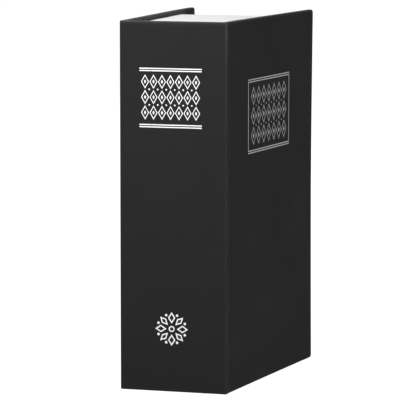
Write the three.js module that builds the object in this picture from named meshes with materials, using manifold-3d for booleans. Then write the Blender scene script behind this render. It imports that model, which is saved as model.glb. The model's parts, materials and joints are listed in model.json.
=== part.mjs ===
// Book diversion safe: a steel box with a cam lock, inside a moulded page block between book covers.
// Millimetres, +Z up. X runs through the thickness with the front cover toward +X, Y runs from the
// spine to the fore-edge, and Z = 0 is the tail that the book stands on. The front cover rests ajar.
import * as THREE from 'three';
import { mergeVertices } from 'three/addons/utils/BufferGeometryUtils.js';
import Module from 'manifold-3d';

const wasm = await Module();
wasm.setup();

// Case: boards, covering paper, endpapers and the front joint
const caseHeight = 180;
const caseWidth = 115;
const caseThickness = 54;
const boardThickness = 1.9;
const paperThickness = 0.3;
const endpaperThickness = 0.2;
const glueLine = 0.1;
const turnIn = 14;
const boardCornerRadius = 1.5;
const paperEdgeRadius = 0.45;
const jointWidth = 4;
const creaseGap = 0.1;
const endpaperMargin = 3;
const ajarDegrees = 6.36;

// Page block: one hollow moulding, open at the back, with page lines on three sides
const pageSquare = 2.4;
const pageDepth = 91.4;
const pageCoverGap = 0.4;
const pageWall = 1.8;
const pageLinePitch = 1.1;
const pageLineDepth = 0.25;
const pageCornerRadius = 1;
const frameBorder = 6;
const hingeCornerRadius = 0.8;
const skirtWall = 1.5;
const skirtDepth = 14;
const webThickness = 1.2;
const webPitch = 26;

// Steel box
const boxSheet = 0.8;
const boxCornerRadius = 4;
const boxClearance = 0.5;
const lipWidth = 5;

// Lid and its rolled hinge
const lidSheet = 1;
const lidSeatGap = 0.2;
const hingeRecess = 2.5;
const hingeClearance = 0.35;
const hingeEndInset = 6;
const pinRadius = 1.1;
const pinClearance = 0.1;
const pinHeadOverhang = 0.6;
const pinHeadHeight = 0.7;
const leafSheet = 0.8;
const leafWidth = 14;
const knuckleCount = 5;
const rivetsPerLeaf = 3;
const rivetRadius = 1.4;
const rivetHeadRadius = 2.3;
const rivetHeadHeight = 0.8;
const rivetTailHeight = 0.5;
const rivetClearance = 0.1;
const rivetLineShare = 0.66;

// Cam lock
const barrelRadius = 8;
const barrelFlatDepth = 1;
const barrelLength = 10.2;
const barrelWall = 0.8;
const barrelClearance = 0.15;
const bezelRim = 3;
const bezelHeight = 1.9;
const bezelChamfer = 0.7;
const nutRim = 1.5;
const nutHeight = 3;
const nutChamfer = 0.4;
const plugClearance = 0.2;
const plugRecess = 0.4;
const keywayWidth = 1.7;
const keywayHeight = 7.4;
const keywayDepth = 8.6;
const wardDepth = 0.6;
const waferCount = 4;
const waferThickness = 0.8;
const waferPitch = 1.7;
const waferWidth = 6.6;
const waferFirst = 2.2;
const waferPlay = 0.1;
const waferWindowWidth = 2.3;
const waferWindowShares = [0.5, 0.38, 0.62, 0.44];
const lockSwingRoom = 2.6;
const driveSize = 5.5;
const drivePlay = 0.1;
const camSheet = 1.5;
const camHubRadius = 6.5;
const camTipRadius = 4.2;
const camLipGap = 1.3;
const camNutGap = 0.3;
const camCatch = 3.5;
const crankRun = 1.9;
const washerRadius = 5;
const washerThickness = 0.7;
const screwRadius = 1.5;
const screwPlay = 0.15;
const screwHeadRadius = 3.2;
const screwHeadHeight = 1.9;
const screwLength = 5;
const screwSlotWidth = 0.8;
const screwSlotDepth = 0.9;

// Run-out of every cut past the face that it opens
const overrun = 2;

// Curve divisions of small corners and of full rounds, where an arc gets twice as many facets, and sides of turned pieces
const cornerSteps = 2;
const roundSteps = 10;
const smallTurnSides = 24;
const lockTurnSides = 48;

// Depths of the cover's layers, counted inward from its outer face
const boardOuter = paperThickness + glueLine;
const boardInner = boardOuter + boardThickness;
const turnInOuter = boardInner + glueLine;
const turnInInner = turnInOuter + paperThickness;
const endpaperOuter = turnInInner + glueLine;
const coverThickness = endpaperOuter + endpaperThickness;

// Places that several pieces share, in the book's frame
const frontFace = caseThickness / 2;
const backFace = -frontFace;
const midHeight = caseHeight / 2;
const pageSpine = coverThickness + glueLine;
const pageFore = pageSpine + pageDepth;
const pageBack = backFace + coverThickness + glueLine;
const pageFront = frontFace - coverThickness - pageCoverGap;
const pageTail = pageSquare;
const pageHead = caseHeight - pageSquare;
const openingSpine = pageSpine + frameBorder;
const openingFore = pageFore - frameBorder;
const openingTail = pageTail + frameBorder;
const openingHead = pageHead - frameBorder;
const pinBore = pinRadius + pinClearance;
const knuckleRadius = pinBore + leafSheet;
const hingeX = pageFront - hingeRecess;
const hingeY = openingSpine + hingeClearance + knuckleRadius;
const hingeTail = openingTail + hingeEndInset;
const hingeHead = openingHead - hingeEndInset;
const boxSpine = hingeY - pinBore + glueLine;
const boxFore = openingFore - boxClearance;
const boxTail = openingTail + boxClearance;
const boxHead = openingHead - boxClearance;
const boxFront = hingeX - knuckleRadius - hingeClearance;
const lidUnder = hingeX - pinBore + glueLine;
const lidFace = lidUnder + lidSheet;
const mouthFore = boxFore - lipWidth;
const bezelRadius = barrelRadius + bezelRim;
const lockBore = barrelRadius - barrelFlatDepth - barrelWall;
const plugRadius = lockBore - plugClearance;
const nutFlatRadius = barrelRadius + nutRim;
const nutCornerRadius = nutFlatRadius / Math.cos(Math.PI / 6);
const lockInset = nutCornerRadius + lockSwingRoom;
const lockY = mouthFore - lockInset;

// Materials, one per finish
function finish(name, color, roughness, metalness) {
  return new THREE.MeshStandardMaterial({ name, color, roughness, metalness });
}

const coveringPaper = finish('covering_paper', 0x2c2c2e, 0.62, 0);
const greyBoard = finish('grey_board', 0x8f8778, 0.95, 0);
const endpaper = finish('endpaper', 0x1f1f21, 0.85, 0);
const jointCloth = finish('joint_cloth', 0x262628, 0.95, 0);
const pagePlastic = finish('page_plastic', 0xf0f0ec, 0.55, 0);
const boxPaint = finish('box_paint', 0x1b1c1e, 0.55, 0.1);
const leafSteel = finish('leaf_steel', 0x24262a, 0.5, 0.2);
const brightSteel = finish('bright_steel', 0xb9bcc0, 0.35, 1);
const lockChrome = finish('lock_chrome', 0xd8dade, 0.15, 1);
const waferBrass = finish('wafer_brass', 0xc2a25a, 0.35, 1);

// A closed geometry as a solid for joining and cutting
function toSolid(geometry) {
  const bare = geometry.clone();
  bare.deleteAttribute('normal');
  bare.deleteAttribute('uv');
  const merged = mergeVertices(bare);
  return new wasm.Manifold(new wasm.Mesh({
    numProp: 3,
    vertProperties: new Float32Array(merged.attributes.position.array),
    triVerts: new Uint32Array(merged.index.array),
  }));
}

// A solid as a geometry for a mesh
function toGeometry(solid) {
  const mesh = solid.getMesh();
  const geometry = new THREE.BufferGeometry();
  geometry.setAttribute('position', new THREE.BufferAttribute(new Float32Array(mesh.vertProperties), 3));
  geometry.setIndex(new THREE.BufferAttribute(new Uint32Array(mesh.triVerts), 1));
  const flat = geometry.toNonIndexed();
  flat.computeVertexNormals();
  return flat;
}

function piece(name, solid, material) {
  const mesh = new THREE.Mesh(toGeometry(solid), material);
  mesh.name = name;
  return mesh;
}

function block(x, y, z) {
  const box = new THREE.BoxGeometry(x[1] - x[0], y[1] - y[0], z[1] - z[0]);
  box.translate((x[0] + x[1]) / 2, (y[0] + y[1]) / 2, (z[0] + z[1]) / 2);
  return toSolid(box);
}

// A shape drawn in Y and Z, extruded along X, with its edges rounded by edgeRadius
function plate(shape, x, steps, edgeRadius = 0) {
  const geometry = new THREE.ExtrudeGeometry(shape, {
    depth: x[1] - x[0] - 2 * edgeRadius,
    bevelEnabled: edgeRadius > 0,
    bevelThickness: edgeRadius,
    bevelSize: edgeRadius,
    bevelOffset: -edgeRadius,
    bevelSegments: 2,
    curveSegments: steps,
  });
  geometry.translate(0, 0, x[0] + edgeRadius);
  const axes = new THREE.Matrix4().makeBasis(
    new THREE.Vector3(0, 1, 0),
    new THREE.Vector3(0, 0, 1),
    new THREE.Vector3(1, 0, 0),
  );
  geometry.applyMatrix4(axes);
  return toSolid(geometry);
}

// A shape drawn in X and Y, extruded along Z
function prism(shape, z) {
  const geometry = new THREE.ExtrudeGeometry(shape, {
    depth: z[1] - z[0],
    bevelEnabled: false,
    curveSegments: roundSteps,
  });
  geometry.translate(0, 0, z[0]);
  return toSolid(geometry);
}

// A profile of [radius, along] pairs turned about the X axis
function turnedAlongX(profile, sides) {
  const points = profile.map(([radius, along]) => new THREE.Vector2(radius, along));
  const geometry = new THREE.LatheGeometry(points, sides);
  geometry.rotateZ(-Math.PI / 2);
  return toSolid(geometry);
}

// A rectangle in Y and Z with its two fore-edge corners rounded, and its spine corners too if asked
function panelShape(y, z, foreRadius, spineRadius = 0) {
  const shape = new THREE.Shape();
  shape.moveTo(y[0] + spineRadius, z[0]);
  shape.lineTo(y[1] - foreRadius, z[0]);
  shape.absarc(y[1] - foreRadius, z[0] + foreRadius, foreRadius, -Math.PI / 2, 0);
  shape.lineTo(y[1], z[1] - foreRadius);
  shape.absarc(y[1] - foreRadius, z[1] - foreRadius, foreRadius, 0, Math.PI / 2);
  shape.lineTo(y[0] + spineRadius, z[1]);
  if (spineRadius > 0) {
    shape.absarc(y[0] + spineRadius, z[1] - spineRadius, spineRadius, Math.PI / 2, Math.PI);
    shape.lineTo(y[0], z[0] + spineRadius);
    shape.absarc(y[0] + spineRadius, z[0] + spineRadius, spineRadius, Math.PI, 1.5 * Math.PI);
  }
  shape.closePath();
  return shape;
}

function roundedPanel(x, y, z, foreRadius, spineRadius = 0, edgeRadius = 0) {
  return plate(panelShape(y, z, foreRadius, spineRadius), x, cornerSteps, edgeRadius);
}

// X range between two depths below a cover's outer face; inward is +1 or -1
function depthRange(face, inward, from, to) {
  const ends = [face + inward * from, face + inward * to];
  return ends.sort((a, b) => a - b);
}

// Covering paper of one board: skin, fore-edge, head and tail, turned in over the board's inner face.
// It stays open toward the joint, where the same sheet goes on across the spine.
function boardCovering(face, inward, start, end) {
  const outer = roundedPanel(
    depthRange(face, inward, 0, turnInInner),
    [start - overrun, end],
    [0, caseHeight],
    boardCornerRadius,
    0,
    paperEdgeRadius,
  );
  const jointSide = block(
    depthRange(face, inward, -overrun, turnInInner + overrun),
    [start - 2 * overrun, start],
    [-overrun, caseHeight + overrun],
  );
  const boardPocket = roundedPanel(
    depthRange(face, inward, paperThickness, turnInOuter),
    [start - overrun, end - paperThickness],
    [paperThickness, caseHeight - paperThickness],
    boardCornerRadius - paperThickness,
  );
  const turnInWindow = block(
    depthRange(face, inward, boardInner, turnInInner + overrun),
    [start - overrun, end - turnIn],
    [turnIn, caseHeight - turnIn],
  );
  return outer.subtract(jointSide).subtract(boardPocket).subtract(turnInWindow);
}

function coverBoard(face, inward, start, end) {
  return roundedPanel(
    depthRange(face, inward, boardOuter, boardInner),
    [start, end - boardOuter],
    [boardOuter, caseHeight - boardOuter],
    boardCornerRadius - paperThickness,
  );
}

// Endpaper pasted over the turn-ins, filled out to the board inside their window
function pastedown(face, inward, start, end) {
  const sheet = roundedPanel(
    depthRange(face, inward, endpaperOuter, coverThickness),
    [start, end - endpaperMargin],
    [endpaperMargin, caseHeight - endpaperMargin],
    boardCornerRadius,
  );
  const filling = block(
    depthRange(face, inward, turnInOuter, coverThickness),
    [start, end - turnIn - glueLine],
    [turnIn + glueLine, caseHeight - turnIn - glueLine],
  );
  return sheet.add(filling);
}

// Front end of the spine, set back behind the joint strip
const stripDepth = 2 * paperThickness + glueLine;
const spineFrontEnd = frontFace - stripDepth - glueLine;

function spineCovering() {
  const shape = new THREE.Shape();
  shape.moveTo(backFace + paperEdgeRadius, 0);
  shape.lineTo(frontFace, 0);
  shape.lineTo(frontFace, paperThickness);
  shape.lineTo(spineFrontEnd, paperThickness);
  shape.lineTo(spineFrontEnd, turnInInner);
  shape.lineTo(backFace, turnInInner);
  shape.lineTo(backFace, paperEdgeRadius);
  shape.absarc(backFace + paperEdgeRadius, paperEdgeRadius, paperEdgeRadius, Math.PI, 1.5 * Math.PI);
  const outer = prism(shape, [0, caseHeight]);
  const insideHeight = [paperThickness, caseHeight - paperThickness];
  const boardPocket = block(
    [backFace + paperThickness, frontFace - glueLine],
    [paperThickness, turnInOuter],
    insideHeight,
  );
  const backPassage = block(
    [backFace + paperThickness, backFace + turnInOuter],
    [paperThickness, turnInInner + overrun],
    insideHeight,
  );
  const turnInWindow = block(
    [backFace + paperThickness, frontFace],
    [boardInner, turnInInner + overrun],
    [turnIn, caseHeight - turnIn],
  );
  return outer.subtract(boardPocket).subtract(backPassage).subtract(turnInWindow);
}

function spineBoard() {
  return block(
    [backFace + boardOuter, spineFrontEnd],
    [boardOuter, boardInner],
    [boardOuter, caseHeight - boardOuter],
  );
}

function spineLining() {
  const sheet = block(
    [pageBack, pageFront],
    [endpaperOuter, coverThickness],
    [endpaperMargin, caseHeight - endpaperMargin],
  );
  const filling = block(
    [pageBack, pageFront],
    [turnInOuter, coverThickness],
    [turnIn + glueLine, caseHeight - turnIn - glueLine],
  );
  return sheet.add(filling);
}

// Strip of the covering that bends between spine and front board, turned in at head and tail
function jointCovering() {
  const across = [paperThickness + glueLine, jointWidth - creaseGap];
  const cutAcross = [across[0] - overrun, across[1] + overrun];
  const folded = block([-stripDepth, 0], across, [0, caseHeight]);
  const foldGap = block(
    [-paperThickness - glueLine, -paperThickness],
    cutAcross,
    [paperThickness, caseHeight - paperThickness],
  );
  const betweenTurnIns = block(
    [-stripDepth - overrun, -paperThickness],
    cutAcross,
    [turnIn, caseHeight - turnIn],
  );
  return folded.subtract(foldGap).subtract(betweenTurnIns);
}

function jointLining() {
  return block(
    [-stripDepth, -paperThickness - glueLine],
    [paperThickness + glueLine, jointWidth - creaseGap],
    [turnIn + glueLine, caseHeight - turnIn - glueLine],
  );
}

// Outline of the page block in Y and Z; inset draws in every side but the one at the spine
function pageOutline(inset) {
  const shape = panelShape(
    [pageSpine, pageFore - inset],
    [pageTail + inset, pageHead - inset],
    pageCornerRadius,
  );
  const points = shape.getPoints(2);
  if (points[0].equals(points[points.length - 1])) {
    points.pop();
  }
  return points;
}

// Closed body through a row of convex outlines that stand at the given places along X
function loft(outlines, places) {
  const sides = outlines[0].length;
  const positions = [];
  outlines.forEach((outline, row) => {
    outline.forEach((point) => positions.push(places[row], point.x, point.y));
  });
  const faces = [];
  for (let row = 0; row + 1 < outlines.length; row += 1) {
    for (let side = 0; side < sides; side += 1) {
      const here = row * sides + side;
      const next = row * sides + (side + 1) % sides;
      faces.push(here, next, next + sides);
      faces.push(here, next + sides, here + sides);
    }
  }
  const lastRow = (outlines.length - 1) * sides;
  for (let side = 1; side + 1 < sides; side += 1) {
    faces.push(0, side + 1, side);
    faces.push(lastRow, lastRow + side, lastRow + side + 1);
  }
  const geometry = new THREE.BufferGeometry();
  geometry.setAttribute('position', new THREE.Float32BufferAttribute(positions, 3));
  geometry.setIndex(faces);
  return toSolid(geometry);
}

// Solid page block whose head, tail and fore-edge carry the page lines
function linedPageBlock() {
  const lineCount = Math.max(2, Math.round((pageFront - pageBack) / pageLinePitch));
  const pitch = (pageFront - pageBack) / lineCount;
  const crest = pageOutline(0);
  const groove = pageOutline(pageLineDepth);
  const outlines = [crest];
  const places = [pageBack];
  for (let line = 0; line < lineCount; line += 1) {
    outlines.push(groove, crest);
    places.push(pageBack + (line + 0.5) * pitch, pageBack + (line + 1) * pitch);
  }
  return loft(outlines, places);
}

// Webs that tie the lined wall to the skirt and locate the box, evenly spaced along each side
function frameWebs() {
  const depth = [pageBack + webThickness, pageFront - pageWall];
  const webs = [];
  const spread = (from, to) => {
    const bays = Math.max(2, Math.round((to - from) / webPitch));
    const step = (to - from) / bays;
    return Array.from({ length: bays - 1 }, (_, index) => from + (index + 1) * step);
  };
  spread(openingTail, openingHead).forEach((z) => {
    const thick = [z - webThickness / 2, z + webThickness / 2];
    webs.push(block(depth, [openingFore - overrun, pageFore - pageWall / 2], thick));
    webs.push(block(depth, [pageSpine + pageWall / 2, openingSpine + overrun], thick));
  });
  spread(openingSpine, openingFore).forEach((y) => {
    const thick = [y - webThickness / 2, y + webThickness / 2];
    webs.push(block(depth, thick, [pageTail + pageWall / 2, openingTail + overrun]));
    webs.push(block(depth, thick, [openingHead - overrun, pageHead - pageWall / 2]));
  });
  return webs;
}

function pageFrame() {
  const hollow = block(
    [pageBack - overrun, pageFront - pageWall],
    [pageSpine + pageWall, pageFore - pageWall],
    [pageTail + pageWall, pageHead - pageWall],
  );
  const skirt = roundedPanel(
    [pageFront - skirtDepth, pageFront],
    [openingSpine - skirtWall, openingFore + skirtWall],
    [openingTail - skirtWall, openingHead + skirtWall],
    boxCornerRadius + boxClearance + skirtWall,
    hingeCornerRadius + skirtWall,
  );
  const opening = roundedPanel(
    [pageBack - overrun, pageFront + overrun],
    [openingSpine, openingFore],
    [openingTail, openingHead],
    boxCornerRadius + boxClearance,
    hingeCornerRadius,
  );
  let core = hollow.subtract(skirt);
  frameWebs().forEach((web) => {
    core = core.subtract(web);
  });
  return linedPageBlock().subtract(core).subtract(opening);
}

// Places of the rivets along each leaf
function rivetHeights() {
  const step = (hingeHead - hingeTail) / rivetsPerLeaf;
  return Array.from({ length: rivetsPerLeaf }, (_, index) => hingeTail + (index + 0.5) * step);
}

const rivetLine = leafWidth * rivetLineShare;

function rivetHole(x, y, z) {
  const circle = new THREE.Shape();
  circle.absarc(y, z, rivetRadius + rivetClearance, 0, 2 * Math.PI);
  return plate(circle, x, roundSteps);
}

function boxShell() {
  const outer = roundedPanel(
    [pageBack, boxFront],
    [boxSpine, boxFore],
    [boxTail, boxHead],
    boxCornerRadius,
    boxCornerRadius,
  );
  const inside = roundedPanel(
    [pageBack + boxSheet, boxFront - boxSheet],
    [boxSpine + boxSheet, boxFore - boxSheet],
    [boxTail + boxSheet, boxHead - boxSheet],
    boxCornerRadius - boxSheet,
    boxCornerRadius - boxSheet,
  );
  const mouth = roundedPanel(
    [boxFront - boxSheet - overrun, boxFront + overrun],
    [boxSpine + lipWidth, mouthFore],
    [boxTail + lipWidth, boxHead - lipWidth],
    boxCornerRadius - boxSheet,
    boxCornerRadius - boxSheet,
  );
  let shell = outer.subtract(inside).subtract(mouth);
  rivetHeights().forEach((z) => {
    const hole = rivetHole([-overrun, overrun], 0, 0).rotate([0, 0, 90]);
    shell = shell.subtract(hole.translate([hingeX - rivetLine, boxSpine, z]));
  });
  return shell;
}

// Hinge leaf with every second knuckle rolled on it. The pin's axis is local Z; the leaf runs along
// +Y on the -X side of the pin.
function hingeLeaf(firstKnuckle) {
  const rolled = new THREE.Shape();
  rolled.moveTo(-knuckleRadius, leafWidth);
  rolled.lineTo(-knuckleRadius, 0);
  rolled.absarc(0, 0, knuckleRadius, Math.PI, 3 * Math.PI - Math.acos(pinBore / knuckleRadius));
  rolled.lineTo(-pinBore, leafWidth);
  rolled.closePath();
  const bore = new THREE.Path();
  bore.absarc(0, 0, pinBore, 0, 2 * Math.PI, true);
  rolled.holes.push(bore);
  const step = (hingeHead - hingeTail) / knuckleCount;
  const play = pinClearance;
  let leaf = block(
    [-knuckleRadius, -pinBore],
    [knuckleRadius + hingeClearance, leafWidth],
    [hingeTail - midHeight, hingeHead - midHeight],
  );
  for (let knuckle = firstKnuckle; knuckle < knuckleCount; knuckle += 2) {
    const from = hingeTail - midHeight + knuckle * step;
    leaf = leaf.add(prism(rolled, [from + play, from + step - play]));
  }
  rivetHeights().forEach((z) => {
    leaf = leaf.subtract(rivetHole([-knuckleRadius - overrun, 0], rivetLine, z - midHeight));
  });
  return leaf;
}

function hingePin() {
  const half = (hingeHead - hingeTail) / 2 + pinClearance;
  const headRadius = pinRadius + pinHeadOverhang;
  return turnedAlongX([
    [0, -half - pinHeadHeight],
    [pinRadius, -half - pinHeadHeight],
    [headRadius, -half - pinHeadHeight / 2],
    [headRadius, -half],
    [pinRadius, -half],
    [pinRadius, half],
    [headRadius, half],
    [headRadius, half + pinHeadHeight / 2],
    [pinRadius, half + pinHeadHeight],
    [0, half + pinHeadHeight],
  ], smallTurnSides).rotate([0, -90, 0]);
}

// Rivet with its domed head at the start of its local X axis and its tail at the end of the grip
function rivet(grip, tailHeight) {
  const dome = [0, 1, 2, 3].map((step) => {
    const angle = (step / 3) * Math.PI / 2;
    return [rivetHeadRadius * Math.sin(angle), -glueLine - rivetHeadHeight * Math.cos(angle)];
  });
  const tail = tailHeight > 0
    ? [
      [rivetRadius, grip + glueLine],
      [rivetHeadRadius, grip + glueLine],
      [rivetRadius, grip + glueLine + tailHeight],
      [0, grip + glueLine + tailHeight],
    ]
    : [
      [rivetRadius, grip],
      [0, grip],
    ];
  return turnedAlongX([...dome, [rivetHeadRadius, -glueLine], [rivetRadius, -glueLine], ...tail], smallTurnSides);
}

// Circle with two flats, square to Z, as the barrel and its hole have
function doubleD(radius, flatDepth) {
  const turn = Math.asin((radius - flatDepth) / radius);
  const shape = new THREE.Shape();
  shape.absarc(0, 0, radius, -turn, turn);
  shape.absarc(0, 0, radius, Math.PI - turn, Math.PI + turn);
  shape.closePath();
  return shape;
}

function lidPanel() {
  const skirtEnd = boxFront + lidSeatGap - hingeX;
  const face = lidFace - hingeX;
  const under = lidUnder - hingeX;
  const spineEdge = knuckleRadius + hingeClearance;
  const foreEdge = boxFore - hingeY;
  const halfHeight = (boxHead - boxTail) / 2;
  const outer = roundedPanel(
    [skirtEnd, face],
    [spineEdge, foreEdge],
    [-halfHeight, halfHeight],
    boxCornerRadius,
  );
  const inside = roundedPanel(
    [skirtEnd - overrun, under],
    [spineEdge - overrun, foreEdge - lidSheet],
    [-halfHeight + lidSheet, halfHeight - lidSheet],
    boxCornerRadius - lidSheet,
  );
  const lockHole = plate(
    doubleD(barrelRadius + barrelClearance, barrelFlatDepth),
    [under - overrun, face + overrun],
    roundSteps,
  ).translate([0, lockY - hingeY, 0]);
  let panel = outer.subtract(inside).subtract(lockHole);
  rivetHeights().forEach((z) => {
    panel = panel.subtract(rivetHole([under - overrun, face + overrun], rivetLine, z - midHeight));
  });
  return panel;
}

// Lock pieces, in a frame whose origin is on the lid's outer face, on the lock's axis along X
const barrelEnd = -barrelLength;
const camTop = barrelEnd - glueLine;
const camBottom = camTop - camSheet;
const camReach = lockInset + camCatch;
const camTipTop = boxFront - boxSheet - camLipGap - lidFace;

function lockBody() {
  const bezel = turnedAlongX([
    [lockBore, glueLine],
    [bezelRadius, glueLine],
    [bezelRadius, bezelHeight - bezelChamfer],
    [bezelRadius - bezelChamfer, bezelHeight],
    [lockBore + bezelChamfer, bezelHeight],
    [lockBore, bezelHeight - plugRecess],
    [lockBore, glueLine],
  ], lockTurnSides);
  const section = doubleD(barrelRadius, barrelFlatDepth);
  const bore = new THREE.Path();
  bore.absarc(0, 0, lockBore, 0, 2 * Math.PI, true);
  section.holes.push(bore);
  return bezel.add(plate(section, [barrelEnd, bezelHeight - bezelChamfer], roundSteps));
}

function lockNut() {
  const shape = new THREE.Shape();
  for (let corner = 0; corner < 6; corner += 1) {
    const angle = (corner + 0.5) * Math.PI / 3;
    const place = [nutCornerRadius * Math.cos(angle), nutCornerRadius * Math.sin(angle)];
    if (corner === 0) {
      shape.moveTo(...place);
    } else {
      shape.lineTo(...place);
    }
  }
  shape.closePath();
  const top = -lidSheet - glueLine;
  const threadHole = new THREE.Shape();
  threadHole.absarc(0, 0, barrelRadius + barrelClearance, 0, 2 * Math.PI);
  return plate(shape, [top - nutHeight, top], cornerSteps, nutChamfer)
    .subtract(plate(threadHole, [top - nutHeight - overrun, top + overrun], roundSteps));
}

// Front end of wafer number index, counted from the plug's face
function waferFront(index) {
  return bezelHeight - plugRecess - waferFirst - index * waferPitch;
}

function lockPlug() {
  const face = bezelHeight - plugRecess;
  const body = turnedAlongX([
    [0, barrelEnd],
    [plugRadius, barrelEnd],
    [plugRadius, face],
    [0, face],
  ], lockTurnSides);
  const drive = block(
    [camBottom + glueLine, barrelEnd + overrun],
    [-driveSize / 2, driveSize / 2],
    [-driveSize / 2, driveSize / 2],
  );
  const keyway = block(
    [face - keywayDepth, face + overrun],
    [-keywayWidth / 2, keywayWidth / 2],
    [-keywayHeight / 2, keywayHeight / 2],
  );
  const ward = block(
    [face - keywayDepth, face + overrun],
    [0, keywayWidth / 2 + wardDepth],
    [-keywayWidth, 0],
  );
  const screwHole = turnedAlongX([
    [0, camBottom - overrun],
    [screwRadius + screwPlay, camBottom - overrun],
    [screwRadius + screwPlay, camBottom + screwLength],
    [0, camBottom + screwLength],
  ], smallTurnSides);
  let plug = body.add(drive).subtract(keyway).subtract(ward).subtract(screwHole);
  for (let wafer = 0; wafer < waferCount; wafer += 1) {
    const front = waferFront(wafer);
    plug = plug.subtract(block(
      [front - waferThickness - waferPlay, front + waferPlay],
      [-waferWidth / 2 - waferPlay, waferWidth / 2 + waferPlay],
      [-plugRadius - overrun, plugRadius + overrun],
    ));
  }
  return plug;
}

// Wafer: its ends follow the plug's round, and its window lies where its step of the key needs it
function lockWafer(index) {
  const front = waferFront(index);
  const along = [front - waferThickness, front];
  const round = turnedAlongX([
    [0, along[0]],
    [plugRadius, along[0]],
    [plugRadius, along[1]],
    [0, along[1]],
  ], lockTurnSides);
  const strip = block(along, [-waferWidth / 2, waferWidth / 2], [-plugRadius, plugRadius]);
  const windowMiddle = (waferWindowShares[index % waferWindowShares.length] - 0.5) * plugRadius;
  const window = block(
    [along[0] - overrun, along[1] + overrun],
    [-waferWindowWidth / 2, waferWindowWidth / 2],
    [windowMiddle - keywayHeight / 2, windowMiddle + keywayHeight / 2],
  );
  return round.intersect(strip).subtract(window);
}

// Cranked cam: the sheet's side profile, cut to the plan of a hub and a narrower rounded tip
function lockCam() {
  const rise = camTipTop - camTop;
  const crankStart = nutCornerRadius + camNutGap;
  const corner = camSheet * Math.tan(Math.atan2(rise, crankRun) / 2);
  const side = new THREE.Shape();
  side.moveTo(camTop, camHubRadius);
  side.lineTo(camBottom, camHubRadius);
  side.lineTo(camBottom, -crankStart - corner);
  side.lineTo(camBottom + rise, -crankStart - crankRun - corner);
  side.lineTo(camBottom + rise, -camReach);
  side.lineTo(camTop + rise, -camReach);
  side.lineTo(camTop + rise, -crankStart - crankRun);
  side.lineTo(camTop, -crankStart);
  side.closePath();
  const bent = prism(side, [-camHubRadius, camHubRadius]).rotate([90, 0, 0]);
  const plan = new THREE.Shape();
  plan.absarc(0, 0, camHubRadius, 0, Math.PI);
  plan.lineTo(-camTipRadius, camTipRadius - camReach);
  plan.absarc(0, camTipRadius - camReach, camTipRadius, Math.PI, 2 * Math.PI);
  plan.closePath();
  const outline = plate(plan, [camBottom - overrun, camTop + rise + overrun], roundSteps);
  const driveHole = block(
    [camBottom - overrun, camTop + overrun],
    [-driveSize / 2 - drivePlay, driveSize / 2 + drivePlay],
    [-driveSize / 2 - drivePlay, driveSize / 2 + drivePlay],
  );
  return bent.intersect(outline).subtract(driveHole);
}

const washerTop = camBottom - glueLine;
const washerBottom = washerTop - washerThickness;
const screwSeat = washerBottom - glueLine;

function camWasher() {
  return turnedAlongX([
    [screwRadius + screwPlay, washerBottom],
    [washerRadius, washerBottom],
    [washerRadius, washerTop],
    [screwRadius + screwPlay, washerTop],
    [screwRadius + screwPlay, washerBottom],
  ], smallTurnSides);
}

function camScrew() {
  const headEnd = screwSeat - screwHeadHeight;
  const body = turnedAlongX([
    [0, headEnd],
    [screwHeadRadius / 2, headEnd],
    [screwHeadRadius, screwSeat - screwHeadHeight / 2],
    [screwHeadRadius, screwSeat],
    [screwRadius, screwSeat],
    [screwRadius, camBottom + screwLength - screwPlay],
    [0, camBottom + screwLength - screwPlay],
  ], smallTurnSides);
  const slot = [-screwSlotWidth / 2, screwSlotWidth / 2];
  const reach = [-screwHeadRadius / 2, screwHeadRadius / 2];
  const depth = [headEnd - overrun, headEnd + screwSlotDepth];
  return body.subtract(block(depth, slot, reach)).subtract(block(depth, reach, slot));
}

// Assembly
function buildLock() {
  const lock = new THREE.Group();
  lock.add(piece('lock_plug', lockPlug(), lockChrome));
  for (let wafer = 0; wafer < waferCount; wafer += 1) {
    lock.add(piece(`lock_wafer_${wafer + 1}`, lockWafer(wafer), waferBrass));
  }
  lock.add(piece('lock_cam', lockCam(), brightSteel));
  lock.add(piece('cam_washer', camWasher(), brightSteel));
  lock.add(piece('cam_screw', camScrew(), brightSteel));
  return lock;
}

function buildLid() {
  const lid = new THREE.Group();
  lid.position.set(hingeX, hingeY, midHeight);
  lid.add(piece('lid_panel', lidPanel(), boxPaint));
  lid.add(piece('lid_hinge_leaf', hingeLeaf(1), leafSteel));
  rivetHeights().forEach((z, index) => {
    const grip = lidFace - hingeX + knuckleRadius;
    const fastener = piece(`lid_rivet_${index + 1}`, rivet(grip, rivetTailHeight), boxPaint);
    fastener.position.set(lidFace - hingeX, rivetLine, z - midHeight);
    fastener.rotation.z = Math.PI;
    lid.add(fastener);
  });
  const lockPlace = new THREE.Group();
  lockPlace.position.set(lidFace - hingeX, lockY - hingeY, 0);
  lockPlace.add(piece('lock_body', lockBody(), lockChrome));
  lockPlace.add(piece('lock_nut', lockNut(), brightSteel));
  lockPlace.add(buildLock());
  lid.add(lockPlace);
  return lid;
}

function buildBox() {
  const box = new THREE.Group();
  box.add(piece('box_shell', boxShell(), boxPaint));
  const leaf = piece('box_hinge_leaf', hingeLeaf(0), leafSteel);
  leaf.position.set(hingeX, hingeY, midHeight);
  leaf.rotation.z = Math.PI / 2;
  box.add(leaf);
  const pin = piece('hinge_pin', hingePin(), brightSteel);
  pin.position.set(hingeX, hingeY, midHeight);
  box.add(pin);
  rivetHeights().forEach((z, index) => {
    const grip = boxSpine + boxSheet - hingeY + knuckleRadius;
    const fastener = piece(`box_rivet_${index + 1}`, rivet(grip, 0), brightSteel);
    fastener.position.set(hingeX - rivetLine, boxSpine + boxSheet, z);
    fastener.rotation.z = -Math.PI / 2;
    box.add(fastener);
  });
  return box;
}

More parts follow.
